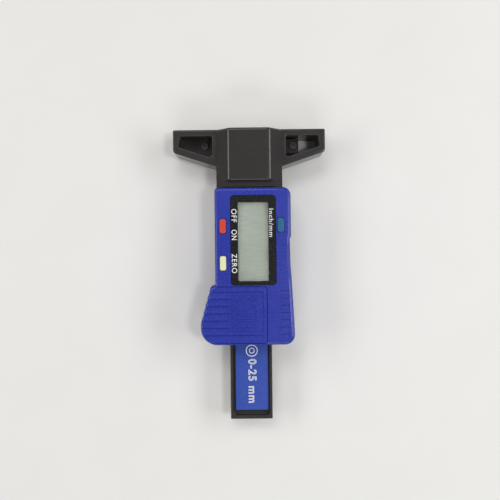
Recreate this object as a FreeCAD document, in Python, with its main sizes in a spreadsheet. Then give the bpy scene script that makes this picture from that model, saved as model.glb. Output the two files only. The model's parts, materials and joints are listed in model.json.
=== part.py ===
import FreeCAD, Part
import os
import re
import Sketcher

# Digital tyre tread depth gauge lying on its back: display up (+Z), measuring foot towards +Y.
# Sketches and expressions use x from the probe axis and d, the distance from the foot face
# towards the tail, so y = foot_y - d.  All lengths are in millimetres.

os.makedirs("parts", exist_ok=True)
doc = FreeCAD.newDocument("TreadGauge")

DIMS = [
    ("overall_length", 120.6), ("foot_y", 60.3),
    # foot and wings
    ("foot_half", 31.5), ("wing_depth", 13.5), ("wing_end_d", 9.4), ("wing_root_d", 15.4),
    ("block_half", 13.6), ("block_end", 24.2), ("foot_bar", 2.7), ("edge_round", 0.7),
    ("lug_in", 16.4), ("lug_out", 20.9), ("lug_d0", 3.1), ("lug_d1", 9.0), ("lug_x", 18.8),
    ("lug_d", 5.8), ("lug_z0", 4.0), ("lug_z1", 6.4),
    # bridge over the slider
    ("bridge_top", 18.3), ("bridge_panel_half", 8.3), ("bridge_step_d", 21.7),
    ("bridge_round", 2.6), ("bridge_skin", 1.8), ("bridge_strip_top", 16.2),
    # slider channel
    ("slot_half", 8.9), ("slot_start", 2.4), ("plate_t", 2.0), ("plate_half", 13.0),
    # display housing
    ("case_start", 24.5), ("case_end", 88.5), ("case_left", 14.3), ("case_right", 16.7),
    ("case_back", 5.5), ("case_front", 19.0), ("case_wall", 1.6), ("flare_x", 20.3),
    ("hip_x", 17.9), ("case_round", 1.3), ("slot_roof", 10.7), ("scoop_z", 16.4),
    # display
    ("bezel_x0", 7.9), ("bezel_x1", 10.6), ("bezel_d0", 27.7), ("bezel_d1", 64.2),
    ("window_x0", 4.9), ("window_x1", 7.5), ("window_d0", 30.5), ("window_d1", 62.6),
    ("bezel_back", 18.2), ("bezel_front", 19.1),
    # battery cover
    ("cover_d0", 64.9), ("cover_d1", 87.6), ("cover_right", 6.6), ("cover_back", 17.6),
    ("skirt_x", 15.2), ("skirt_z", 9.6), ("rib_first", 66.8), ("rib_pitch", 2.93),
    ("rib_deep", 0.5), ("rib_low", 0.18), ("rib_step", 0.35), ("cover_gap", 0.25),
    # slider beam
    ("beam_half", 8.75), ("beam_back", 2.3), ("beam_front", 10.2), ("beam_nose", 28.2),
    ("label_x0", 6.6), ("label_x1", 7.0), ("label_end", 117.0), ("tray_half", 7.6),
    ("tray_end", 119.1), ("tray_floor", 8.4), ("label_top", 9.4),
    ("travel", 25.4), ("stop_d", 34), ("probe_r", 1.0), ("probe_z", 6.25), ("probe_tip", 0.3),
    # board, battery and small parts
    ("board_back", 10.85), ("board_front", 11.65), ("cell_x", -3.0), ("cell_d", 76.4),
    ("cell_r", 5.8), ("cell_z0", 11.95), ("cell_z1", 17.35), ("screw_r", 1.0),
    ("case_screw_x", 11.1), ("case_screw_d0", 28.6), ("case_screw_d1", 84.4),
    ("board_screw_d", 47.5), ("board_screw_x0", 11.2), ("board_screw_x1", 12.9),
    # buttons: centre x, centre d
    ("key_half_x", 1.25), ("key_half_d", 2.9), ("key_top", 19.5), ("onoff_x", -11.0),
    ("onoff_d", 40.2), ("zero_d", 55.2), ("unit_x", 12.5), ("unit_d", 39.9),
]

sheet = doc.addObject("Spreadsheet::Sheet", "Dims")
for row, (alias, size) in enumerate(DIMS, 1):
    sheet.set(f"A{row}", alias)
    sheet.set(f"B{row}", str(size))
    sheet.setAlias(f"B{row}", alias)
doc.recompute()

NAMES = {alias for alias, size in DIMS}
NODES = []


def bound(expression):
    """The expression with every dimension's name pointed at the sheet."""
    return re.sub(r"[a-z]\w*", lambda m: "Dims." + m[0] if m[0] in NAMES else m[0], str(expression))


def value(expression):
    """The number an expression comes to."""
    return float(sheet.evalExpression(bound(expression)))


def along(expression):
    """The y of a distance from the foot face."""
    return f"foot_y - ({expression})"


def node(obj, label):
    """Mark an object as one of the parts written at the end."""
    obj.Label = label
    NODES.append(obj)
    return obj


def origin_plane(body, role):
    return next(f for f in body.Origin.OriginFeatures if f.Role == role)


def new_body(label):
    return node(doc.addObject("PartDesign::Body", label + "_body"), label)


def new_sketch(body, role, offset):
    sketch = body.newObject("Sketcher::SketchObject", "Sketch")
    sketch.AttachmentSupport = [(origin_plane(body, role), "")]
    sketch.MapMode = "FlatFace"
    sketch.setExpression("AttachmentOffset.Base.z", bound(offset))
    return sketch


def fix(sketch, kind, geometry, point, expression):
    """Tie one coordinate of a sketch point to an expression."""
    index = sketch.addConstraint(Sketcher.Constraint(kind, -1, 1, geometry, point, value(expression)))
    sketch.setExpression(f"Constraints[{index}]", bound(expression))


def draw_polygon(sketch, corners):
    """A closed polygon through (across, up) expressions."""
    first = sketch.GeometryCount
    spots = [FreeCAD.Vector(value(a), value(b), 0) for a, b in corners]
    count = len(corners)
    for i in range(count):
        sketch.addGeometry(Part.LineSegment(spots[i], spots[(i + 1) % count]))
    for i, (a, b) in enumerate(corners):
        sketch.addConstraint(
            Sketcher.Constraint("Coincident", first + (i - 1) % count, 2, first + i, 1))
        fix(sketch, "DistanceX", first + i, 1, a)
        fix(sketch, "DistanceY", first + i, 1, b)


def draw_circle(sketch, across, up, radius):
    spot = FreeCAD.Vector(value(across), value(up), 0)
    index = sketch.addGeometry(Part.Circle(spot, FreeCAD.Vector(0, 0, 1), value(radius)))
    fix(sketch, "DistanceX", index, 3, across)
    fix(sketch, "DistanceY", index, 3, up)
    turn = sketch.addConstraint(Sketcher.Constraint("Radius", index, value(radius)))
    sketch.setExpression(f"Constraints[{turn}]", bound(radius))


def feature(body, kind, sketch, length, turned=False):
    """Pad or pocket a sketch and make sure that it changed the solid."""
    before = body.Shape.Volume if body.Tip else 0.0
    item = body.newObject("PartDesign::" + kind, kind)
    item.Profile = sketch
    item.Reversed = turned
    item.setExpression("Length", bound(length))
    body.Tip = item
    doc.recompute()
    if abs(body.Shape.Volume - before) < 1e-3:
        raise SystemExit(f"{body.Label}: a {kind} changes nothing")
    return item


def pad(body, corners, z0, z1):
    sketch = new_sketch(body, "XY_Plane", z0)
    draw_polygon(sketch, [(x, along(d)) for x, d in corners])
    return feature(body, "Pad", sketch, f"({z1}) - ({z0})")


def pocket(body, shapes, z0, z1):
    """Remove polygons from z1 down to z0."""
    sketch = new_sketch(body, "XY_Plane", z1)
    for corners in shapes:
        draw_polygon(sketch, [(x, along(d)) for x, d in corners])
    return feature(body, "Pocket", sketch, f"({z1}) - ({z0})")


def bore(body, circles, z0, z1):
    """Remove round holes (x, d, radius) from z1 down to z0."""
    sketch = new_sketch(body, "XY_Plane", z1)
    for x, d, radius in circles:
        draw_circle(sketch, x, along(d), radius)
    return feature(body, "Pocket", sketch, f"({z1}) - ({z0})")


def rect(x0, x1, d0, d1):
    return [(x0, d0), (x1, d0), (x1, d1), (x0, d1)]


def upright_edges(shape, corners, z=None):
    """Names of the straight edges along Z that stand on the given (x, d) corners."""
    spots = [(value(x), value(along(d))) for x, d in corners]
    found = []
    for i, edge in enumerate(shape.Edges, 1):
        box = edge.BoundBox
        flat = box.XLength < 1e-4 and box.YLength < 1e-4
        near = any(abs(box.XMin - x) + abs(box.YMin - y) < 1e-3 for x, y in spots)
        if flat and near and (z is None or box.ZMin - 1e-3 <= value(z) <= box.ZMax + 1e-3):
            found.append(f"Edge{i}")
    return found


def ring_edges(shape, z, test=None):
    """Names of the edges lying in one level plane, kept where the test on the box is true."""
    level = value(z)
    found = []
    for i, edge in enumerate(shape.Edges, 1):
        box = edge.BoundBox
        if abs(box.ZMin - level) < 1e-4 and abs(box.ZMax - level) < 1e-4:
            if test is None or test(box):
                found.append(f"Edge{i}")
    return found


def dress(body, kind, edges, size):
    """Fillet or chamfer the named edges."""
    if not edges:
        raise SystemExit(f"{body.Label}: no edge found for a {kind}")
    tip = body.Tip
    item = body.newObject("PartDesign::" + kind, kind)
    item.Base = (tip, edges)
    if kind == "Fillet":
        item.setExpression("Radius", bound(size))
    else:
        item.setExpression("Size", bound(size))
    body.Tip = item
    doc.recompute()
    if "Invalid" in item.State or "Error" in item.State or not body.Shape.isValid():
        raise SystemExit(f"{body.Label}: {kind} failed")
    return item


def block(x0, x1, d0, d1, z0, z1):
    """A box between two corners."""
    item = doc.addObject("Part::Box", "block")
    item.setExpression("Length", bound(f"({x1}) - ({x0})"))
    item.setExpression("Width", bound(f"({d1}) - ({d0})"))
    item.setExpression("Height", bound(f"({z1}) - ({z0})"))
    item.setExpression("Placement.Base.x", bound(x0))
    item.setExpression("Placement.Base.y", bound(along(d1)))
    item.setExpression("Placement.Base.z", bound(z0))
    return item


def post(x, d, z0, z1, radius):
    """A cylinder standing along Z."""
    item = doc.addObject("Part::Cylinder", "post")
    item.setExpression("Radius", bound(radius))
    item.setExpression("Height", bound(f"({z1}) - ({z0})"))
    item.setExpression("Placement.Base.x", bound(x))
    item.setExpression("Placement.Base.y", bound(along(d)))
    item.setExpression("Placement.Base.z", bound(z0))
    return item


def rod(x, z, d0, d1, radius):
    """A cylinder lying along Y."""
    item = doc.addObject("Part::Cylinder", "rod")
    item.Placement = FreeCAD.Placement(
        FreeCAD.Vector(), FreeCAD.Rotation(FreeCAD.Vector(1, 0, 0), -90))
    item.setExpression("Radius", bound(radius))
    item.setExpression("Height", bound(f"({d1}) - ({d0})"))
    item.setExpression("Placement.Base.x", bound(x))
    item.setExpression("Placement.Base.y", bound(along(d1)))
    item.setExpression("Placement.Base.z", bound(z))
    return item


def fuse(label, pieces):
    item = doc.addObject("Part::MultiFuse", label)
    item.Shapes = pieces
    return item


def cut(label, base, tools):
    item = doc.addObject("Part::Cut", label)
    item.Base = base
    item.Tool = tools[0] if len(tools) == 1 else fuse(label + "_tools", tools)
    return item


def rod_bore(body, x, z, d0, d1, radius):
    """Remove a round hole that runs along Y between two distances from the foot."""
    sketch = new_sketch(body, "XZ_Plane", f"-({along(d0)})")
    draw_circle(sketch, x, z, radius)
    return feature(body, "Pocket", sketch, f"({d1}) - ({d0})", turned=True)


def shingles(body, numbers, x0, x1, first):
    """Ridges across x0 to x1: after each narrow groove the surface rises slowly, then faster."""
    sketch = new_sketch(body, "YZ_Plane", x0)
    for i in numbers:
        d = f"{first} + {i} * rib_pitch"
        steps = [("0", "0.05"), ("0", "-rib_deep"), ("0.3", "-rib_deep"), ("0.3", "-rib_low"),
                 ("0.55 * rib_pitch", "0.05 - rib_low"), ("0.97 * rib_pitch", "0.05")]
        draw_polygon(sketch, [(along(f"{d} + {a}"), f"case_front + {z}") for a, z in steps])
    return feature(body, "Pocket", sketch, f"({x1}) - ({x0})", turned=True)


# ---------------------------------------------------------------- outlines
def mirrored(corners):
    """The corners and, walking back, their mirror images across the probe axis."""
    return corners + [(f"-({x})", d) for x, d in reversed(corners)]


CASE = [
    ("-case_left", "case_start"), ("case_right", "case_start"), ("case_right", "44.4"),
    ("case_right - 0.5", "45.6"), ("case_right - 0.3", "56"), ("case_right + 0.3", "65"),
    ("hip_x", "83"), ("hip_x", "case_end"), ("-flare_x", "case_end"), ("-flare_x", "79.5"),
    ("-18.2", "71.5"), ("-16.2", "cover_d0 - 0.15"), ("-case_left", "cover_d0 - 0.9"),
]
CASE_ROUND = [
    (CASE[0:1], "1.5"), (CASE[1:2], "3.3"), (CASE[7:8], "4"), (CASE[8:9], "6.8"), (CASE[9:10], "6"),
]


def case_body(label, z0, z1):
    """A solid with the display housing's outline and its rounded corners."""
    body = new_body(label)
    pad(body, CASE, z0, z1)
    for corners, radius in CASE_ROUND:
        dress(body, "Fillet", upright_edges(body.Shape, corners), radius)
    return body


# ---------------------------------------------------------------- base frame
base = new_body("base_frame")
FOOT = mirrored([
    ("foot_half", "0"), ("foot_half", "wing_end_d"), ("block_half", "wing_root_d"),
    ("block_half", "block_end"),
])
pad(base, FOOT, "0", "wing_depth")
CRADLE = rect("-case_left + 0.5", "case_right - 0.9", "block_end - 0.1", "case_end - 0.4")
pad(base, CRADLE, "0", "case_back")
dress(base, "Fillet", upright_edges(base.Shape, CRADLE[1:2]), "1.8")
dress(base, "Fillet", upright_edges(base.Shape, CRADLE[2:]), "2.8")
for side in ("", "-"):
    window = [
        (f"{side}15.2", "foot_bar"), (f"{side}(foot_half - 2.9)", "foot_bar"),
        (f"{side}(foot_half - 2.2)", "7.1"), (f"{side}16.6", "11.3"), (f"{side}15.2", "10.6"),
    ]
    pocket(base, [window], "0", "wing_depth")
    ends = upright_edges(base.Shape, window)
    dress(base, "Fillet", ends, "0.6")
pocket(base, [rect("-slot_half", "slot_half", "slot_start", "case_end")], "0", "wing_depth")
# floors that carry the two foot screws: a lug in the right window, a full web in the left one
pad(base, rect("15.1", "lug_out", "lug_d0", "lug_d1"), "lug_z0", "lug_z1")
pad(base, [("-15.1", "foot_bar - 0.1"), ("-foot_half + 2.8", "foot_bar - 0.1"),
           ("-foot_half + 2.1", "7.2"), ("-16.6", "11.4"), ("-15.1", "10.7")], "lug_z0", "lug_z1")
bore(base, [(f"{side}lug_x", "lug_d", "screw_r + 0.15") for side in ("", "-")], "lug_z0", "lug_z1")
bore(base, [(f"{side}lug_x", "lug_d", "1.65") for side in ("", "-")], "lug_z1 - 0.7", "lug_z1")
# seat of the back plate, with its two ears
SEAT = [rect("-plate_half - 0.1", "plate_half + 0.1", "1.5", "case_end - 1.5")]
pocket(base, SEAT, "0", "plate_t")
for side in ("", "-"):
    pocket(base, [rect(f"{side}(plate_half - 0.5)", f"{side}15.4", "lug_d0 - 0.3", "lug_d1 + 0.3")],
           "0", "plate_t")
bore(base, [(f"{side}case_screw_x", d, "screw_r + 0.15")
            for side in ("", "-") for d in ("case_screw_d0", "case_screw_d1")],
     "plate_t", "case_back")
# rails that guide the slider under the circuit board
for side in ("", "-"):
    pad(base, rect(f"{side}slot_half", f"{side}(slot_half + 0.8)", "33", "80"),
        "case_back - 0.2", "beam_front")
rod_bore(base, "0", "probe_z", "-0.5", "slot_start + 0.5", "2.25")
foot_edges = []
for number, edge in enumerate(base.Shape.Edges, 1):
    box = edge.BoundBox
    on_face = abs(box.YMin - value("foot_y")) < 1e-3 and box.YLength < 1e-3
    if on_face and (box.XLength > 50 or box.ZLength > 12):
        foot_edges.append(f"Edge{number}")
dress(base, "Fillet", foot_edges, "edge_round")
dress(base, "Fillet", upright_edges(base.Shape, [FOOT[1], FOOT[6]]), "1.7")
outer = ring_edges(base.Shape, "wing_depth", lambda b: max(b.XMax, -b.XMin) > 31
                   or abs(b.Center.x) > 18 and b.Center.y < value(along("11.6")))
dress(base, "Fillet", outer, "0.6")
inner = ring_edges(base.Shape, "wing_depth", lambda b: 15 < abs(b.Center.x) < 30
                   and value(along("11.4")) < b.Center.y < value(along("foot_bar - 0.1")))
dress(base, "Fillet", inner, "0.3")

# ---------------------------------------------------------------- back plate
plate = new_body("back_plate")
PLATE = mirrored([
    ("plate_half", "1.7"), ("plate_half", "lug_d0"), ("lug_out - 0.2", "lug_d0"),
    ("lug_out - 0.2", "lug_d1"), ("plate_half", "lug_d1"), ("plate_half", "case_end - 1.8"),
])
pad(plate, PLATE, "0", "plate_t")
dress(plate, "Chamfer", ring_edges(plate.Shape, "0", lambda b: b.YLength > 30), "0.15")
for side in ("", "-"):
    pad(plate, rect(f"{side}lug_in", f"{side}(lug_out - 0.2)", "lug_d0", "lug_d1"),
        "plate_t - 0.2", "lug_z0")
bore(plate, [(f"{side}lug_x", "lug_d", "screw_r + 0.02") for side in ("", "-")], "0.8", "lug_z0")
SCREWS = [(f"{side}case_screw_x", d) for side in ("", "-") for d in ("case_screw_d0", "case_screw_d1")]
bore(plate, [(x, d, "screw_r + 0.15") for x, d in SCREWS], "0", "plate_t")
bore(plate, [(x, d, "1.7") for x, d in SCREWS], "0", "1.2")
# pocket for the drag spring and the stop peg that limits the slider
pocket(plate, [rect("-3.2", "3.2", "66", "81")], "1.2", "plate_t")
peg_sketch = new_sketch(plate, "XY_Plane", "plate_t - 0.2")
draw_circle(peg_sketch, "0", along("stop_d"), "1.2")
feature(plate, "Pad", peg_sketch, "1.6")

# ---------------------------------------------------------------- bridge cover
bridge = new_body("bridge_cover")
profile = new_sketch(bridge, "XZ_Plane", "-foot_y")
draw_polygon(profile, [
    ("-block_half", "wing_depth"), ("block_half", "wing_depth"),
    ("bridge_panel_half", "bridge_top"), ("-bridge_panel_half", "bridge_top"),
])
feature(bridge, "Pad", profile, "block_end")
pocket(bridge, [rect("-20", "20", "bridge_step_d", "block_end + 1")], "bridge_strip_top", "bridge_top + 1")
ridges = ring_edges(bridge.Shape, "bridge_top", lambda b: b.YLength > 10)
dress(bridge, "Fillet", ridges, "bridge_round")
ends = []
for number, edge in enumerate(bridge.Shape.Edges, 1):
    box = edge.BoundBox
    if box.ZMin > value("bridge_strip_top") + 0.5 and box.YLength < 1e-3:
        ends.append(f"Edge{number}")
dress(bridge, "Fillet", ends, "1")
lip = ring_edges(bridge.Shape, "bridge_strip_top",
                 lambda b: b.YLength < 1e-3 and b.YMin < value(along("block_end - 0.1")))
dress(bridge, "Fillet", lip, "0.5")
HOLLOW = rect("-9.4", "9.4", "bridge_skin", "block_end - 1.2")
pocket(bridge, [HOLLOW], "wing_depth - 0.1", "bridge_strip_top - 1.2")
for side in ("", "-"):
    for d in ("5", "19"):
        peg = new_sketch(bridge, "XY_Plane", "wing_depth - 3")
        draw_circle(peg, f"{side}11.3", along(d), "1.1")
        feature(bridge, "Pad", peg, "3.2")
bore(base, [(f"{side}11.3", d, "1.12") for side in ("", "-") for d in ("5", "19")],
     "wing_depth - 3.2", "wing_depth")

# ---------------------------------------------------------------- display housing
case = case_body("front_housing", "case_back", "case_front")
front = ring_edges(case.Shape, "case_front")
dress(case, "Fillet", front, "case_round")
INNER = [
    ("-case_left + case_wall", "case_start + case_wall"),
    ("case_right - case_wall - 0.4", "case_start + case_wall"),
    ("case_right - case_wall - 0.4", "case_end - case_wall"),
    ("-case_left + case_wall", "case_end - case_wall"),
]
pocket(case, [INNER], "case_back", "15.9")
pocket(case, [rect("-case_left + case_wall", "case_right - case_wall - 0.4",
                   "case_start + case_wall", "bezel_d1 + 0.1")],
       "15.8", "case_front - case_wall")
pocket(case, [rect("-slot_half - 0.1", "slot_half + 0.1", "case_start - 0.5", "case_end + 0.5")],
       "case_back - 0.1", "slot_roof")
# display opening and the shallow seat of the bezel
pocket(case, [rect("-6.1", "8.7", "29.3", "63.6")], "case_front - case_wall - 0.1", "case_front")
RECESS = rect("-bezel_x0 - 0.05", "bezel_x1 + 0.05", "bezel_d0 - 0.05", "bezel_d1 + 0.05")
pocket(case, [RECESS], "bezel_back", "case_front")
dress(case, "Fillet", upright_edges(case.Shape, RECESS), "1.55")
# seat of the battery cover: open to the left, with two grooves for its rails and the cell well
SEAT_TOP = rect("-flare_x - 2", "cover_right + cover_gap", "cover_d0 - cover_gap",
                "cover_d1 + cover_gap")
pocket(case, [SEAT_TOP], "cover_back - 0.1", "case_front")
dress(case, "Fillet", upright_edges(case.Shape, SEAT_TOP[1:3]), "1.3 + cover_gap")
pocket(case, [rect("-flare_x - 2", "-skirt_x + cover_gap", "cover_d0 - cover_gap",
                   "cover_d1 + cover_gap")], "skirt_z - 0.1", "case_front")
for d0, d1 in (("65.6", "67"), ("85.6", "87")):
    pocket(case, [rect("-flare_x", "cover_right - 1", d0, d1)], "cover_back - 0.8", "cover_back")
bore(case, [("cell_x", "cell_d", "6.4")], "15.5", "cover_back")
# button openings
KEYS = [("onoff_x", "onoff_d"), ("onoff_x", "zero_d"), ("unit_x", "unit_d")]
for x, d in KEYS:
    hole = rect(f"{x} - key_half_x - 0.12", f"{x} + key_half_x + 0.12",
                f"{d} - key_half_d - 0.12", f"{d} + key_half_d + 0.12")
    pocket(case, [hole], "17", "case_front")
# seven grip ridges down the right side and the thumb scoop above them
shingles(case, range(7), "12.3", "15.7", "rib_first - 0.4")
scoop = new_sketch(case, "XY_Plane", "case_front")
draw_polygon(scoop, [(x, along(d)) for x, d in (
    ("30", "44.4"), ("17", "44.4"), ("15.5", "45.8"), ("14.9", "48.5"), ("14.9", "56"),
    ("15.5", "61"), ("17.2", "66"), ("30", "66"))])
cutter = feature(case, "Pocket", scoop, "case_front - scoop_z")
cutter.TaperAngle = -40
doc.recompute()
# bosses for the case screws and the board screws
BOARD = [("-board_screw_x0", "board_screw_d"), ("board_screw_x1", "board_screw_d")]
for x, d in SCREWS:
    roof = "case_front - case_wall + 0.1" if d == "case_screw_d0" else "16"
    ring = new_sketch(case, "XY_Plane", "case_back")
    draw_circle(ring, x, along(d), "2.05")
    feature(case, "Pad", ring, f"{roof} - case_back")
for x, d in BOARD:
    ring = new_sketch(case, "XY_Plane", "board_front")
    draw_circle(ring, x, along(d), "1.6")
    feature(case, "Pad", ring, "5.9")
bore(case, [(x, d, "screw_r + 0.02") for x, d in SCREWS], "case_back", "12.5")
bore(case, [(x, d, "0.82") for x, d in BOARD], "board_front", "15")

# ---------------------------------------------------------------- bezel and window
bezel = new_body("display_bezel")
BEZEL = rect("-bezel_x0", "bezel_x1", "bezel_d0", "bezel_d1")
WINDOW = rect("-window_x0", "window_x1", "window_d0", "window_d1")
pad(bezel, BEZEL, "bezel_back", "bezel_front")
dress(bezel, "Fillet", upright_edges(bezel.Shape, BEZEL), "1.5")
pocket(bezel, [WINDOW], "bezel_back", "bezel_front")
dress(bezel, "Fillet", upright_edges(bezel.Shape, WINDOW), "0.8")
dress(bezel, "Chamfer", ring_edges(bezel.Shape, "bezel_front"), "0.15")

window = new_body("display_window")
GLASS = rect("-window_x0 + 0.06", "window_x1 - 0.06", "window_d0 + 0.06", "window_d1 - 0.06")
pad(window, rect("-5.95", "8.55", "29.45", "63.45"), "17.2", "bezel_back")
pad(window, GLASS, "bezel_back - 0.2", "bezel_front - 0.15")
dress(window, "Fillet", upright_edges(window.Shape, GLASS), "0.75")

node(block("-6.1", "8.2", "29.4", "63.5", "14.3", "16.9"), "lcd_glass")
frame_outer = block("-7.2", "8.95", "28.4", "64.1", "board_front", "16.6")
frame_inner = block("-6.2", "8.3", "29.3", "63.6", "board_front - 1", "18")
node(cut("lcd_frame_cut", frame_outer, [frame_inner]), "lcd_frame")
node(block("-6.0", "-4.2", "30", "62.9", "board_front", "14.3"), "zebra_strip_left")
node(block("6.3", "8.1", "30", "62.9", "board_front", "14.3"), "zebra_strip_right")

# ---------------------------------------------------------------- circuit board and its parts
board_blank = block("-case_left + case_wall + 0.2", "case_right - case_wall - 0.6",
                    "case_start + case_wall + 0.2", "case_end - case_wall - 0.2",
                    "board_back", "board_front")
notches = [block(x0, x1, f"{d} - 2.4", f"{d} + 2.4", "board_back - 1", "board_front + 1")
           for x0, x1 in (("-14", "-8.8"), ("8.8", "15")) for d in ("case_screw_d0", "case_screw_d1")]
holes = [post(x, d, "board_back - 1", "board_front + 1", "0.95") for x, d in BOARD]
node(cut("board_cut", board_blank, notches + holes), "circuit_board")
node(block("-6.5", "6.5", "33", "60", "board_back - 0.12", "board_back"), "sensor_pads")

dome = doc.addObject("Part::Sphere", "dome")
dome.setExpression("Radius", bound("5.8"))
dome.setExpression("Placement.Base.x", bound("1.2"))
dome.setExpression("Placement.Base.y", bound(along("46")))
dome.setExpression("Placement.Base.z", bound("board_front - 4.2"))
chip = doc.addObject("Part::Common", "chip_common")
chip.Base = dome
chip.Tool = block("-6", "8", "38", "54", "board_front", "board_front + 3")
node(chip, "controller_chip")
node(rod("12.3", "board_front + 1.05", "60", "66.2", "1.05"), "crystal_can")
caps = [block("10.9", "12.1", f"{70 + 2.6 * i}", f"{71.9 + 2.6 * i}", "board_front", "board_front + 0.9")
        for i in range(3)]
node(fuse("caps", caps), "chip_capacitors")

# ---------------------------------------------------------------- battery
cell_can = post("cell_x", "cell_d", "cell_z0 + 0.6", "cell_z1", "cell_r")
cell_cup = post("cell_x", "cell_d", "cell_z0", "cell_z1 - 1", "cell_r - 0.7")
node(fuse("cell", [cell_can, cell_cup]), "button_cell")
holder_out = post("cell_x", "cell_d", "board_front", "15.6", "7.3")
holder_in = post("cell_x", "cell_d", "board_front - 1", "17", "6.05")
slit = block("cell_x + 4", "cell_x + 9", "cell_d - 1.9", "cell_d + 1.9", "board_front - 1", "17")
node(cut("holder", holder_out, [holder_in, slit]), "cell_holder")
minus_pad = block("cell_x - 2", "cell_x + 2", "cell_d - 3.5", "cell_d + 3.5",
                  "board_front", "cell_z0")
node(minus_pad, "cell_minus_contact")
clip_wall = block("cell_x + cell_r", "cell_x + cell_r + 0.3", "cell_d - 1.6", "cell_d + 1.6",
                  "board_front", "15.4")
clip_foot = block("cell_x + cell_r", "cell_x + cell_r + 3", "cell_d - 1.6", "cell_d + 1.6",
                  "board_front", "board_front + 0.3")
node(fuse("plus_clip", [clip_wall, clip_foot]), "cell_plus_contact")

# ---------------------------------------------------------------- battery cover
cover = case_body("battery_cover", "skirt_z", "case_front")
dress(cover, "Fillet", ring_edges(cover.Shape, "case_front"), "case_round")
pocket(cover, [rect("-30", "30", "0", "cover_d0")], "skirt_z", "case_front")
pocket(cover, [rect("-30", "30", "cover_d1", "100")], "skirt_z", "case_front")
pocket(cover, [rect("cover_right", "30", "60", "90")], "skirt_z", "case_front")
under = new_sketch(cover, "XY_Plane", "cover_back")
draw_polygon(under, [(x, along(d)) for x, d in rect("-skirt_x", "30", "60", "90")])
feature(cover, "Pocket", under, "cover_back - skirt_z")
dress(cover, "Fillet", upright_edges(
    cover.Shape, [("cover_right", "cover_d0"), ("cover_right", "cover_d1")]), "1.3")
shingles(cover, range(7), "-30", "-9", "rib_first")
shingles(cover, (0, 6), "-9", "cover_right - 1.4", "rib_first")
PANEL = rect("-7.9", "5.3", "68.3", "82.9")
pocket(cover, [PANEL], "case_front - 0.3", "case_front")
dress(cover, "Fillet", upright_edges(cover.Shape, PANEL), "0.9")
# the flared edge steps in a little below each ridge
EDGE = [("-16.2", "cover_d0 - 0.15"), ("-18.2", "71.5"), ("-flare_x", "79.5")]


def edge_x(d):
    """The x of the flare's straight edge at a distance d from the foot."""
    spots = [(value(b), value(a)) for a, b in EDGE]
    for (d0, x0), (d1, x1) in zip(spots, spots[1:]):
        if d <= d1:
            return x0 + (x1 - x0) * (d - d0) / (d1 - d0)
    return spots[-1][1]


for i in range(4):
    d0 = value(f"rib_first + {i} * rib_pitch")
    d1 = value(f"rib_first + {i + 0.95} * rib_pitch")
    pocket(cover, [[("-30", str(d0)), (f"{edge_x(d0):.3f} + rib_step", str(d0)),
                    (f"{edge_x(d1):.3f}", str(d1)), ("-30", str(d1))]], "skirt_z", "case_front")
for d0, d1 in (("65.8", "66.8"), ("85.8", "86.8")):
    pad(cover, rect("-14", "cover_right - 1.3", d0, d1), "cover_back - 0.7", "cover_back + 0.2")

# ---------------------------------------------------------------- buttons
KEY_NODES = ("on_off_button", "zero_button", "unit_button")
for label, (x, d) in zip(KEY_NODES, KEYS):
    key = new_body(label)
    cap = rect(f"{x} - key_half_x", f"{x} + key_half_x", f"{d} - key_half_d", f"{d} + key_half_d")
    pad(key, cap, "16.2", "key_top")
    dress(key, "Fillet", upright_edges(key.Shape, cap), "0.7")
    dress(key, "Fillet", ring_edges(key.Shape, "key_top"), "0.3")
    flange = rect(f"{x} - key_half_x - 0.4", f"{x} + key_half_x + 0.4",
                  f"{d} - key_half_d - 0.5", f"{d} + key_half_d + 0.5")
    pad(key, flange, "16.2", "17.2")
    pad(key, rect(f"{x} - 0.8", f"{x} + 0.8", f"{d} - 1", f"{d} + 1"), "14.9", "16.4")

MATS = (("key_mat_left", "-12.5", "-8.6", "37.4", "58.2", KEYS[:2]),
        ("key_mat_right", "11.1", "13.9", "37.2", "43.0", KEYS[2:]))
for label, x0, x1, d0, d1, keys in MATS:
    sheet_piece = block(x0, x1, d0, d1, "board_front", "board_front + 0.6")
    domes = [block(f"{x} - 1", f"{x} + 1", f"{d} - 1.3", f"{d} + 1.3", "board_front", "14.2")
             for x, d in keys]
    hole = [post(x, d, "board_front - 1", "16", "1.8") for x, d in BOARD]
    node(cut(label + "_cut", fuse(label + "_fuse", [sheet_piece] + domes), hole), label)

# ---------------------------------------------------------------- slider
beam = new_body("tail_beam")
BEAM = rect("-beam_half", "beam_half", "beam_nose", "overall_length")
TRAY = rect("-tray_half", "tray_half", "beam_nose + 1.4", "tray_end")
pad(beam, BEAM, "beam_back", "beam_front")
dress(beam, "Fillet", upright_edges(beam.Shape, BEAM[2:]), "0.4")
dress(beam, "Fillet", ring_edges(beam.Shape, "beam_front"), "0.25")
pocket(beam, [TRAY], "tray_floor", "beam_front")
dress(beam, "Fillet", upright_edges(beam.Shape, TRAY), "1.4")
slot_under = new_sketch(beam, "XY_Plane", "beam_back + 1.6")
PEG_SLOT = rect("-1.4", "1.4", "stop_d - 1.5", "stop_d + travel + 1.6")
draw_polygon(slot_under, [(x, along(d)) for x, d in PEG_SLOT])
feature(beam, "Pocket", slot_under, "1.6")
rod_bore(beam, "0", "probe_z", "beam_nose - 0.5", "beam_nose + 6", "probe_r + 0.02")
bore(beam, [("0", "beam_nose + 3.4", "1.02")], "probe_z + 0.9", "tray_floor")

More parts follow.
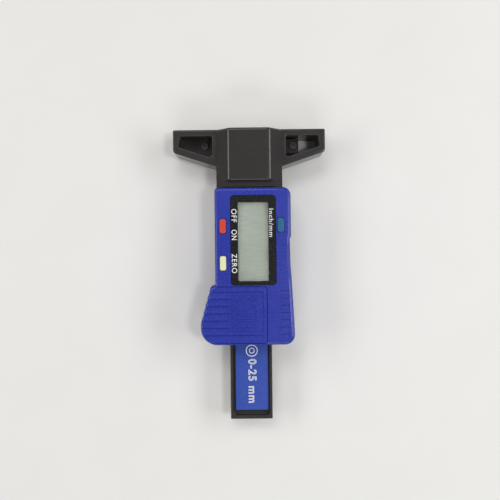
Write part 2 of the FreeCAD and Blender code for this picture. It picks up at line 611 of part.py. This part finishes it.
node(block("-label_x0", "label_x1", "beam_nose + 2", "label_end", "tray_floor", "label_top - 0.25"),
     "scale_strip")
label_body = new_body("beam_label")
LABEL = rect("-label_x0", "label_x1", "beam_nose + 2", "label_end")
pad(label_body, LABEL, "label_top - 0.25", "label_top")
dress(label_body, "Fillet", upright_edges(label_body.Shape, LABEL[2:]), "0.3")
probe = new_body("probe_rod")
probe_sketch = new_sketch(probe, "XZ_Plane", f"-({along('probe_tip')})")
draw_circle(probe_sketch, "0", "probe_z", "probe_r")
feature(probe, "Pad", probe_sketch, "beam_nose + 5.5 - probe_tip")
tip = [f"Edge{i}" for i, e in enumerate(probe.Shape.Edges, 1)
       if e.BoundBox.YMin > value(along("probe_tip + 0.1"))]
dress(probe, "Chamfer", tip, "0.25")
node(post("0", "beam_nose + 3.4", "probe_z + 1", "tray_floor - 0.1", "1"), "probe_set_screw")

# ---------------------------------------------------------------- bush, spring and screws
bush_out = fuse("bush_out", [rod("0", "probe_z", "0.2", "slot_start + 0.4", "2.23"),
                             rod("0", "probe_z", "slot_start", "slot_start + 0.4", "2.8")])
bush_in = rod("0", "probe_z", "-1", "5", "probe_r + 0.06")
node(cut("bush", bush_out, [bush_in]), "probe_bush")

spring = new_body("drag_spring")
side_view = new_sketch(spring, "YZ_Plane", "-2.4")
BOW = [("66.6", "1.2"), ("70", "1.45"), ("73.5", "1.98"), ("77", "1.45"), ("80.4", "1.2")]
leaf = [(along(d), z) for d, z in BOW] + [(along(d), f"{z} + 0.25") for d, z in reversed(BOW)]
draw_polygon(side_view, leaf)
feature(spring, "Pad", side_view, "4.8")


def screw(x, d, z_head, z_seat, z_tip, head_r, shank_r):
    """A pan head between z_head and z_seat and a shank from there to z_tip, with a cross recess."""
    low, high = sorted((value(z_head), value(z_seat)))
    head = post(x, d, str(low), str(high), head_r)
    low_s, high_s = sorted((value(z_seat), value(z_tip)))
    shank = post(x, d, str(low_s), str(high_s), shank_r)
    out = 1 if value(z_head) > value(z_seat) else -1
    face = value(z_head)
    z0, z1 = sorted((face - 0.45 * out, face + 0.2 * out))
    bars = [block(f"{x} - {a}", f"{x} + {a}", f"{d} - {b}", f"{d} + {b}", str(z0), str(z1))
            for a, b in ((0.8, 0.16), (0.16, 0.8))]
    return cut("screw", fuse("screw_solid", [head, shank]), bars)


node(fuse("lug_set", [screw(f"{s}lug_x", "lug_d", "lug_z1 + 0.5", "lug_z1 - 0.7", "1", "1.5", "screw_r")
                      for s in ("", "-")]), "lug_screws")
node(fuse("case_set", [screw(x, d, "0.1", "1.2", "10", "1.55", "screw_r") for x, d in SCREWS]),
     "case_screws")
node(fuse("board_set", [screw(x, d, "board_back - 0.8", "board_back", "14.5", "1.3", "0.8")
                        for x, d in BOARD]), "board_screws")

# ---------------------------------------------------------------- checks and export
doc.recompute()
for item in doc.Objects:
    if "Invalid" in item.State or "Error" in item.State:
        raise SystemExit(f"{item.Label} did not compute: {item.State}")
for item in NODES:
    shape = item.Shape
    if shape.isNull() or not shape.isValid() or shape.Volume <= 0:
        raise SystemExit(f"{item.Label} has no valid solid")
    shape.exportStep(f"parts/{item.Label}.step")
print(len(NODES), "parts written")
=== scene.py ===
"""Looks of a digital tyre tread depth gauge: its finishes, legends, grip dots, light and view."""
import json
import math

import bpy
import numpy as np
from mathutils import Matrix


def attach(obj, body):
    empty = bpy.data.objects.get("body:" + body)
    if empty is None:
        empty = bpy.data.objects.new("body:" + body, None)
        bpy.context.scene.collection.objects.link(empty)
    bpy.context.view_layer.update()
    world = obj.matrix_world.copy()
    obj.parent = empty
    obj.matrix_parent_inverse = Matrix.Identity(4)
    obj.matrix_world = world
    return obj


MM = 0.001
PRINT_THICK = 0.03                     # mm, of the printed legends and rings
ROW_STEP = 0.866                       # rows of a staggered grid, in pitches
MIX_FACTOR, MIX_A, MIX_B, MIX_COLOR = 0, 6, 7, 2    # sockets of the colour mix node

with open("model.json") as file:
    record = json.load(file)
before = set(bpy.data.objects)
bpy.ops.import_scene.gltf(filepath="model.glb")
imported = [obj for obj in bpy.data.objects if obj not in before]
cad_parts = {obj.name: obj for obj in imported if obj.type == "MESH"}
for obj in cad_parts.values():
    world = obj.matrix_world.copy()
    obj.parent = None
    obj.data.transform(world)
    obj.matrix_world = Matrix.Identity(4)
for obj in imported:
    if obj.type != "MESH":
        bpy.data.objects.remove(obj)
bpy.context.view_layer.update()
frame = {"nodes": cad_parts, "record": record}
nodes = frame["nodes"]


# ------------------------------------------------------------------ shader helpers
def add_node(tree, kind, at=(0, 0), **values):
    """A shader node with its properties and unlinked input values set."""
    made = tree.nodes.new(kind)
    made.location = at
    for key, val in values.items():
        if hasattr(made, key):
            setattr(made, key, val)
        else:
            made.inputs[key.replace("_", " ")].default_value = val
    return made


def new_group(name, inputs, outputs):
    """An empty node group with named sockets: returns the tree, its input node and its output node."""
    tree = bpy.data.node_groups.new(name, "ShaderNodeTree")
    for title, kind, default in inputs:
        socket = tree.interface.new_socket(title, in_out="INPUT", socket_type=kind)
        socket.default_value = default
    for title, kind in outputs:
        tree.interface.new_socket(title, in_out="OUTPUT", socket_type=kind)
    entry = tree.nodes.new("NodeGroupInput")
    entry.location = (-900, 0)
    leave = tree.nodes.new("NodeGroupOutput")
    leave.location = (900, 0)
    return tree, entry, leave


def math_node(tree, operation, a, b=None, at=(0, 0), clamp=False):
    """A math node; each operand is a socket or a number."""
    made = tree.nodes.new("ShaderNodeMath")
    made.operation = operation
    made.use_clamp = clamp
    made.location = at
    for index, operand in enumerate((a, b)):
        if operand is None:
            continue
        if isinstance(operand, (int, float)):
            made.inputs[index].default_value = operand
        else:
            tree.links.new(operand, made.inputs[index])
    return made.outputs[0]


def ramp(tree, value, low, high, at=(0, 0)):
    """The value moved so that low becomes 0 and high becomes 1, clamped."""
    made = add_node(tree, "ShaderNodeMapRange", at, clamp=True)
    made.inputs["From Min"].default_value = low
    made.inputs["From Max"].default_value = high
    tree.links.new(value, made.inputs["Value"])
    return made.outputs["Result"]


def build_moulded_grain():
    """Fine spark-eroded grain of a mould: two sizes of noise pushed into the normal."""
    tree, entry, leave = new_group(
        "Moulded grain",
        [("Scale", "NodeSocketFloat", 2500.0), ("Depth", "NodeSocketFloat", 0.00001)],
        [("Normal", "NodeSocketVector")])
    spot = add_node(tree, "ShaderNodeTexCoord", (-900, -300))
    fine = add_node(tree, "ShaderNodeTexNoise", (-600, 100), Detail=2.0, Roughness=0.6)
    tree.links.new(spot.outputs["Object"], fine.inputs["Vector"])
    tree.links.new(entry.outputs["Scale"], fine.inputs["Scale"])
    wide = add_node(tree, "ShaderNodeTexNoise", (-600, -200), Detail=1.0)
    tree.links.new(spot.outputs["Object"], wide.inputs["Vector"])
    tree.links.new(math_node(tree, "MULTIPLY", entry.outputs["Scale"], 0.07, (-750, -200)),
                   wide.inputs["Scale"])
    total = math_node(tree, "ADD", fine.outputs["Fac"],
                      math_node(tree, "MULTIPLY", wide.outputs["Fac"], 2.0, (-400, -200)), (-200, 0))
    bump = add_node(tree, "ShaderNodeBump", (300, 0), Strength=1.0)
    tree.links.new(total, bump.inputs["Height"])
    tree.links.new(entry.outputs["Depth"], bump.inputs["Distance"])
    tree.links.new(bump.outputs["Normal"], leave.inputs["Normal"])
    return tree


def build_tone_drift():
    """A colour that drifts a little lighter and darker over a part, as pigment in plastic does."""
    tree, entry, leave = new_group(
        "Tone drift",
        [("Color", "NodeSocketColor", (0.5, 0.5, 0.5, 1.0)), ("Amount", "NodeSocketFloat", 0.1),
         ("Scale", "NodeSocketFloat", 60.0)],
        [("Color", "NodeSocketColor"), ("Mask", "NodeSocketFloat")])
    spot = add_node(tree, "ShaderNodeTexCoord", (-900, -300))
    noise = add_node(tree, "ShaderNodeTexNoise", (-600, 0), Detail=3.0, Roughness=0.55)
    tree.links.new(spot.outputs["Object"], noise.inputs["Vector"])
    tree.links.new(entry.outputs["Scale"], noise.inputs["Scale"])
    swing = math_node(tree, "SUBTRACT", noise.outputs["Fac"], 0.5, (-350, 0))
    scaled = math_node(tree, "MULTIPLY", swing, entry.outputs["Amount"], (-150, 0))
    factor = math_node(tree, "ADD", scaled, 1.0, (50, 0))
    mult = add_node(tree, "ShaderNodeVectorMath", (300, 0), operation="SCALE")
    tree.links.new(entry.outputs["Color"], mult.inputs[0])
    tree.links.new(factor, mult.inputs["Scale"])
    tree.links.new(mult.outputs[0], leave.inputs["Color"])
    tree.links.new(noise.outputs["Fac"], leave.inputs["Mask"])
    return tree


def build_edge_wear():
    """A mask of rubbed outer edges, broken up by noise."""
    tree, entry, leave = new_group(
        "Edge wear",
        [("Amount", "NodeSocketFloat", 0.5), ("Scale", "NodeSocketFloat", 400.0)],
        [("Mask", "NodeSocketFloat")])
    spot = add_node(tree, "ShaderNodeTexCoord", (-900, -300))
    shape = add_node(tree, "ShaderNodeNewGeometry", (-900, 200))
    noise = add_node(tree, "ShaderNodeTexNoise", (-600, -100), Detail=4.0)
    tree.links.new(spot.outputs["Object"], noise.inputs["Vector"])
    tree.links.new(entry.outputs["Scale"], noise.inputs["Scale"])
    edge = ramp(tree, shape.outputs["Pointiness"], 0.52, 0.62, (-600, 200))
    broken = ramp(tree, noise.outputs["Fac"], 0.42, 0.62, (-350, -100))
    both = math_node(tree, "MULTIPLY", edge, broken, (-100, 100))
    tree.links.new(math_node(tree, "MULTIPLY", both, entry.outputs["Amount"], (150, 100), True),
                   leave.inputs["Mask"])
    return tree


def build_settled_dust():
    """A mask of light dust that lies on faces turned up, thicker in patches."""
    tree, entry, leave = new_group(
        "Settled dust",
        [("Amount", "NodeSocketFloat", 0.1), ("Scale", "NodeSocketFloat", 900.0)],
        [("Mask", "NodeSocketFloat")])
    spot = add_node(tree, "ShaderNodeTexCoord", (-900, -300))
    shape = add_node(tree, "ShaderNodeNewGeometry", (-900, 200))
    split = add_node(tree, "ShaderNodeSeparateXYZ", (-700, 200))
    tree.links.new(shape.outputs["Normal"], split.inputs[0])
    up = ramp(tree, split.outputs["Z"], 0.3, 1.0, (-450, 200))
    specks = add_node(tree, "ShaderNodeTexNoise", (-600, -100), Detail=6.0, Roughness=0.75)
    tree.links.new(spot.outputs["Object"], specks.inputs["Vector"])
    tree.links.new(entry.outputs["Scale"], specks.inputs["Scale"])
    thick = ramp(tree, specks.outputs["Fac"], 0.5, 0.75, (-350, -100))
    both = math_node(tree, "MULTIPLY", up, thick, (-100, 100))
    tree.links.new(math_node(tree, "MULTIPLY", both, entry.outputs["Amount"], (150, 100), True),
                   leave.inputs["Mask"])
    return tree


GRAIN = build_moulded_grain()
DRIFT = build_tone_drift()
WEAR = build_edge_wear()
DUST = build_settled_dust()


def use_group(tree, group, at, **values):
    """A group placed in a material with its input values set."""
    made = tree.nodes.new("ShaderNodeGroup")
    made.node_tree = group
    made.location = at
    for key, val in values.items():
        made.inputs[key].default_value = val
    return made


def blend_colors(tree, factor, a, b, at):
    """Mix two colours; b is a fixed colour."""
    made = tree.nodes.new("ShaderNodeMix")
    made.data_type = "RGBA"
    made.location = at
    tree.links.new(factor, made.inputs[MIX_FACTOR])
    tree.links.new(a, made.inputs[MIX_A])
    made.inputs[MIX_B].default_value = (*b, 1.0)
    return made.outputs[MIX_COLOR]


def drawn_out_noise(tree, stretch, at, **values):
    """Noise drawn out into lines along the axis whose stretch is smallest."""
    spot = add_node(tree, "ShaderNodeTexCoord", (at[0] - 400, at[1]))
    mapping = add_node(tree, "ShaderNodeMapping", (at[0] - 200, at[1]))
    mapping.inputs["Scale"].default_value = stretch
    tree.links.new(spot.outputs["Object"], mapping.inputs["Vector"])
    lines = add_node(tree, "ShaderNodeTexNoise", at, **values)
    tree.links.new(mapping.outputs[0], lines.inputs["Vector"])
    return lines


def clear_material(name):
    """A new material with its node tree and its surface shader."""
    mat = bpy.data.materials.new(name)
    mat.use_nodes = True
    tree = mat.node_tree
    shader = tree.nodes["Principled BSDF"]
    return mat, tree, shader


DUST_COLOR = (0.5, 0.48, 0.45)


def plastic(name, color, rough=0.4, grain=2500.0, depth=0.004, drift=0.12, worn=None, wear=0.3,
            dust=0.06):
    """Moulded plastic: drifting tone, fine grain, rubbed edges, a little dust; depth is in mm."""
    mat, tree, shader = clear_material(name)
    tone = use_group(tree, DRIFT, (-900, 200), Color=(*color, 1.0), Amount=drift, Scale=55.0)
    rubbed = use_group(tree, WEAR, (-900, 0), Amount=wear, Scale=420.0)
    dusty = use_group(tree, DUST, (-900, -200), Amount=dust, Scale=1100.0)
    worn = worn or tuple(min(1.0, c * 1.6 + 0.02) for c in color)
    paint = blend_colors(tree, rubbed.outputs["Mask"], tone.outputs["Color"], worn, (-600, 200))
    paint = blend_colors(tree, dusty.outputs["Mask"], paint, DUST_COLOR, (-400, 200))
    tree.links.new(paint, shader.inputs["Base Color"])
    swing = math_node(tree, "MULTIPLY", tone.outputs["Mask"], 0.12, (-600, -100))
    level = math_node(tree, "ADD", swing, rough - 0.06, (-400, -100))
    level = math_node(tree, "ADD", level, math_node(tree, "MULTIPLY", dusty.outputs["Mask"], 0.6,
                                                    (-400, -300)), (-200, -100), True)
    tree.links.new(level, shader.inputs["Roughness"])
    surface = use_group(tree, GRAIN, (-400, -500), Scale=grain, Depth=depth * MM)
    tree.links.new(surface.outputs["Normal"], shader.inputs["Normal"])
    return mat


def metal(name, color, rough=0.3, brushed=(1.0, 1.0, 1.0), dark=None):
    """Metal with scratches drawn out along the axis whose brushed value is small, and dark patches."""
    mat, tree, shader = clear_material(name)
    tone = use_group(tree, DRIFT, (-900, 200), Color=(*color, 1.0), Amount=0.1, Scale=300.0)
    paint = tone.outputs["Color"]
    if dark:
        stain = ramp(tree, tone.outputs["Mask"], 0.55, 0.75, (-700, 0))
        paint = blend_colors(tree, stain, paint, dark, (-500, 200))
    tree.links.new(paint, shader.inputs["Base Color"])
    lines = drawn_out_noise(tree, brushed, (-700, -300), Scale=2500.0, Detail=3.0)
    swing = math_node(tree, "MULTIPLY", lines.outputs["Fac"], 0.2, (-500, -200))
    tree.links.new(math_node(tree, "ADD", swing, rough - 0.1, (-300, -200), True),
                   shader.inputs["Roughness"])
    bump = add_node(tree, "ShaderNodeBump", (-300, -400), Strength=1.0, Distance=0.002 * MM)
    tree.links.new(lines.outputs["Fac"], bump.inputs["Height"])
    tree.links.new(bump.outputs["Normal"], shader.inputs["Normal"])
    shader.inputs["Metallic"].default_value = 1.0
    return mat


def display_material():
    """Grey-green liquid crystal panel: its reflector has faint lines across it and lighter patches."""
    mat, tree, shader = clear_material("Liquid crystal panel")
    tone = use_group(tree, DRIFT, (-900, 200), Color=(0.61, 0.64, 0.57, 1.0), Amount=0.16, Scale=90.0)
    lines = drawn_out_noise(tree, (0.12, 1.0, 1.0), (-900, 0), Scale=1600.0, Detail=3.0, Roughness=0.7)
    faint = ramp(tree, lines.outputs["Fac"], 0.4, 1.0, (-700, 0))
    paint = blend_colors(tree, faint, tone.outputs["Color"], (0.80, 0.82, 0.74), (-500, 200))
    tree.links.new(paint, shader.inputs["Base Color"])
    surface = use_group(tree, GRAIN, (-600, -300), Scale=5000.0, Depth=0.003 * MM)
    tree.links.new(surface.outputs["Normal"], shader.inputs["Normal"])
    tree.links.new(math_node(tree, "ADD", math_node(tree, "MULTIPLY", tone.outputs["Mask"], 0.15),
                             0.35, (-300, 0)), shader.inputs["Roughness"])
    return mat


def window_material():
    """Clear plastic pane with faint wiping marks in its gloss."""
    mat, tree, shader = clear_material("Clear pane")
    tone = use_group(tree, DRIFT, (-700, 100), Color=(0.94, 0.97, 0.95, 1.0), Amount=0.03, Scale=90.0)
    tree.links.new(tone.outputs["Color"], shader.inputs["Base Color"])
    tree.links.new(math_node(tree, "ADD", math_node(tree, "MULTIPLY", tone.outputs["Mask"], 0.08),
                             0.03, (-300, 0)), shader.inputs["Roughness"])
    shader.inputs["Transmission Weight"].default_value = 1.0
    shader.inputs["IOR"].default_value = 1.3
    shader.inputs["Specular IOR Level"].default_value = 0.35
    return mat


def floor_material():
    """Pale matt board with a barely seen mottle."""
    mat, tree, shader = clear_material("Pale board")
    tone = use_group(tree, DRIFT, (-700, 100), Color=(0.80, 0.785, 0.76, 1.0), Amount=0.05, Scale=35.0)
    tree.links.new(tone.outputs["Color"], shader.inputs["Base Color"])
    surface = use_group(tree, GRAIN, (-600, -300), Scale=1500.0, Depth=0.01 * MM)
    tree.links.new(surface.outputs["Normal"], shader.inputs["Normal"])
    shader.inputs["Roughness"].default_value = 0.75
    return mat


LEGEND = plastic("White legend ink", (0.83, 0.83, 0.82), rough=0.55, wear=0.0, dust=0.02, drift=0.06)
FINISHES = {
    "black_plastic": plastic("Grained black plastic", (0.037, 0.034, 0.033), rough=0.17, grain=1800.0,
                             depth=0.0015, worn=(0.09, 0.09, 0.09), wear=0.2, dust=0.03),
    "blue_plastic": plastic("Royal blue plastic", (0.020, 0.034, 0.325), rough=0.27, grain=2200.0,
                            depth=0.002, drift=0.18, wear=0.15),
    "bezel_plastic": plastic("Black bezel", (0.011, 0.011, 0.012), rough=0.18, depth=0.002, wear=0.1),
    "clear_window": window_material(),
    "lcd": display_material(),
    "frame_plastic": plastic("Inner frame plastic", (0.08, 0.08, 0.08), rough=0.5),
    "conductive_rubber": plastic("Layered rubber", (0.42, 0.28, 0.33), rough=0.7),
    "board_green": plastic("Solder mask", (0.02, 0.16, 0.07), rough=0.35, grain=900.0),
    "copper": metal("Copper foil", (0.72, 0.40, 0.22), rough=0.35),
    "chip_resin": plastic("Potting resin", (0.015, 0.015, 0.016), rough=0.2, depth=0.001),
    "black_steel": plastic("Blackened screw", (0.045, 0.045, 0.05), rough=0.3, grain=3000.0),
    "steel": metal("Plated steel", (0.56, 0.56, 0.55), rough=0.32, brushed=(1.0, 0.08, 1.0),
                   dark=(0.32, 0.31, 0.29)),
    "battery_steel": metal("Nickel can", (0.58, 0.57, 0.55), rough=0.34, brushed=(0.2, 1.0, 1.0)),
    "ceramic": plastic("Ceramic", (0.45, 0.36, 0.27), rough=0.5),
    "grey_rubber": plastic("Grey silicone", (0.24, 0.25, 0.27), rough=0.65),
    "brass": metal("Turned brass", (0.72, 0.52, 0.24), rough=0.28, brushed=(1.0, 1.0, 0.1)),
    "label_blue": plastic("Printed blue label", (0.034, 0.074, 0.37), rough=0.29, grain=4000.0,
                          depth=0.002, drift=0.3, wear=0.1),
    "red_plastic": plastic("Red button", (0.60, 0.055, 0.028), rough=0.32, depth=0.003),
    "yellow_plastic": plastic("Yellow-green button", (0.74, 0.77, 0.46), rough=0.4, depth=0.003),
    "teal_plastic": plastic("Teal button", (0.012, 0.120, 0.225), rough=0.3, depth=0.003),
}
for part in frame["record"]["subparts"]:
    mesh = nodes[part["node"]].data
    mesh.materials.clear()
    mesh.materials.append(FINISHES[part["material_slot"]])


# ------------------------------------------------------------------ pieces
def carry(name, mesh, material, body):
    """Put a finished mesh into the scene with its material, carried by a body."""
    piece = bpy.data.objects.new(name, mesh)
    bpy.context.scene.collection.objects.link(piece)
    mesh.materials.append(material)
    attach(piece, body)


def new_piece(name, verts, faces, material, body):
    """A mesh object from whole arrays, carried by a body."""
    mesh = bpy.data.meshes.new(name)
    mesh.from_pydata(verts.tolist(), [], [tuple(f) for f in faces])
    mesh.update()
    carry(name, mesh, material, body)


def legend(name, words, start, height, length, top, body, outline=None):
    """Words that run down the tool (towards -Y), letter tops to the right.

    start is the baseline's first point (x, y), height the height of a capital, length how far the
    words run; the letters lie just above the level top. With outline, the radius of the line, only
    the letters' edges are drawn."""
    curve = bpy.data.curves.new(name, "FONT")
    curve.body = words
    curve.size = 1.0
    curve.extrude = 0.01
    curve.offset = 0.006
    curve.space_character = 1.16
    if outline:
        curve.fill_mode = "NONE"
        curve.extrude = 0.0
        curve.offset = 0.0
        curve.bevel_depth = outline
        curve.bevel_resolution = 1
    writer = bpy.data.objects.new(name + "_curve", curve)
    bpy.context.scene.collection.objects.link(writer)
    bpy.context.view_layer.update()
    shape = writer.evaluated_get(bpy.context.evaluated_depsgraph_get())
    mesh = bpy.data.meshes.new_from_object(shape)
    bpy.data.objects.remove(writer)
    flat = np.zeros(len(mesh.vertices) * 3)
    mesh.vertices.foreach_get("co", flat)
    flat = flat.reshape(-1, 3)
    low, high = flat.min(0), flat.max(0)
    run = (flat[:, 0] - low[0]) / (high[0] - low[0]) * length
    rise = (flat[:, 1] - low[1]) / (high[1] - low[1]) * height
    deep = (flat[:, 2] - low[2]) / max(high[2] - low[2], 1e-9) * PRINT_THICK
    placed = np.stack([start[0] + rise, start[1] - run, top + deep], 1) * MM
    mesh.vertices.foreach_set("co", placed.ravel())
    mesh.materials.clear()
    mesh.update()
    carry(name, mesh, LEGEND, body)


def flat_ring(name, centre, radii, level, body, steps=64):
    """A flat ring with a little thickness: a square section swept round a circle."""
    turn = np.linspace(0, 2 * np.pi, steps, endpoint=False)
    section = [(radii[0], 0.0), (radii[1], 0.0),
               (radii[1], PRINT_THICK), (radii[0], PRINT_THICK)]
    verts = np.concatenate([np.stack([centre[0] + r * np.cos(turn), centre[1] + r * np.sin(turn),
                                      np.full(steps, level + h)], 1) for r, h in section])
    faces = []
    for side in range(4):
        a, b = side * steps, (side + 1) % 4 * steps
        for k in range(steps):
            n = (k + 1) % steps
            faces.append((a + k, a + n, b + n, b + k))
    new_piece(name, verts * MM, faces, LEGEND, body)


def grip_dots(name, x_range, y_range, pitch, radius, height, level):
    """Low round dots on a staggered grid.

    Each dot is a cap: height falls from the middle as the square of the distance from it."""
    rings, spokes = 3, 10
    u = np.linspace(0, 2 * np.pi, spokes, endpoint=False)
    r = np.linspace(0, 1, rings + 1)[1:]
    ring_xy = np.stack([np.outer(r, np.cos(u)), np.outer(r, np.sin(u))], -1).reshape(-1, 2)
    ring_z = np.repeat(1 - r ** 2, spokes)
    cap = np.vstack([[0, 0, 1], np.column_stack([ring_xy, ring_z])])
    cap = cap * [radius, radius, height]
    faces = [(0, 1 + k, 1 + (k + 1) % spokes) for k in range(spokes)]
    for j in range(rings - 1):
        a, b = 1 + j * spokes, 1 + (j + 1) * spokes
        faces += [(a + k, b + k, b + (k + 1) % spokes, a + (k + 1) % spokes) for k in range(spokes)]
    verts, all_faces = [], []
    columns = int((x_range[1] - x_range[0]) / pitch) + 1
    rows = int((y_range[1] - y_range[0]) / (pitch * ROW_STEP)) + 1
    for row in range(rows):
        for column in range(columns - row % 2):
            x = x_range[0] + (column + 0.5 * (row % 2)) * pitch
            y = y_range[0] + row * pitch * ROW_STEP
            all_faces += [tuple(len(verts) * len(cap) + i for i in face) for face in faces]
            verts.append(cap + [x, y, level])
    new_piece(name, np.vstack(verts) * MM, all_faces, FINISHES["blue_plastic"],
              "cell_cover")


BEZEL_TOP = 19.11
LABEL_TOP = 9.41
legend("legend_off", "OFF", (-7.45, 27.0), 2.15, 5.3, BEZEL_TOP, "housing")
legend("legend_on", "ON", (-7.45, 18.6), 2.15, 4.1, BEZEL_TOP, "housing")
legend("legend_zero", "ZERO", (-7.45, 8.9), 2.15, 7.8, BEZEL_TOP, "housing")
legend("legend_unit", "Inch/mm", (7.75, 27.0), 1.8, 11.4, BEZEL_TOP, "housing")
legend("legend_range", "0-25 mm", (-1.3, -35.4), 3.5, 18.4, LABEL_TOP, "slider",
       outline=0.03)
flat_ring("legend_ring_outer", (0.25, -31.9), (2.15, 2.5), LABEL_TOP, "slider")
flat_ring("legend_ring_inner", (0.25, -31.9), (0.85, 1.2), LABEL_TOP, "slider")
grip_dots("cover_grip_dots", (-6.9, 3.2), (-21.0, -9.6), 1.3, 0.34, 0.28, 18.69)

# ------------------------------------------------------------------ stage, light and view
FLOOR_HALF = 2.0
FLOOR_Z = -0.00002
corners = [(x * FLOOR_HALF, y * FLOOR_HALF, FLOOR_Z) for x, y in ((-1, -1), (1, -1), (1, 1), (-1, 1))]
ground = bpy.data.meshes.new("ground")
ground.from_pydata(corners, [], [(0, 1, 2, 3)])
ground.materials.append(floor_material())
floor = bpy.data.objects.new("ground", ground)
bpy.context.scene.collection.objects.link(floor)


def soft_light(name, place, size, power, color=(1, 1, 1)):
    """A rectangular lamp at a place, turned to the origin; all in metres."""
    lamp = bpy.data.lights.new(name, "AREA")
    lamp.shape = "RECTANGLE"
    lamp.size, lamp.size_y = size
    lamp.energy = power
    lamp.color = color
    holder = bpy.data.objects.new(name, lamp)
    bpy.context.scene.collection.objects.link(holder)
    holder.location = place
    holder.rotation_euler = holder.location.to_track_quat("Z", "Y").to_euler()


soft_light("window_light", (-0.16, 0.52, 0.84), (0.55, 0.3), 2.3, (1.0, 0.985, 0.965))
soft_light("high_light", (0.34, -0.03, 0.91), (0.14, 0.14), 1.7)
soft_light("right_light", (0.56, 0.1, 0.4), (0.7, 0.24), 2.4, (0.97, 0.985, 1.0))
soft_light("left_light", (-0.56, 0.1, 0.4), (0.7, 0.2), 1.9)
soft_light("tail_light", (0.0, -0.5, 0.42), (0.5, 0.16), 1.0)

world = bpy.data.worlds.new("Studio")
world.use_nodes = True
world.node_tree.nodes["Background"].inputs["Color"].default_value = (0.9, 0.92, 0.95, 1)
world.node_tree.nodes["Background"].inputs["Strength"].default_value = 0.11
bpy.context.scene.world = world

CAMERA_AT = (-0.0394 * MM, 10.37 * MM, 270.0 * MM)
CAMERA_ROLL = -math.radians(0.616)
FOCAL_LENGTH = 44.69
SENSOR_WIDTH = 36.0
lens = bpy.data.cameras.new("view")
lens.lens = FOCAL_LENGTH
lens.sensor_width = SENSOR_WIDTH
lens.clip_start = 0.01
camera = bpy.data.objects.new("view", lens)
bpy.context.scene.collection.objects.link(camera)
camera.location = CAMERA_AT
camera.rotation_euler = (0, 0, CAMERA_ROLL)
bpy.context.scene.camera = camera
bpy.context.scene.view_settings.view_transform = "Standard"
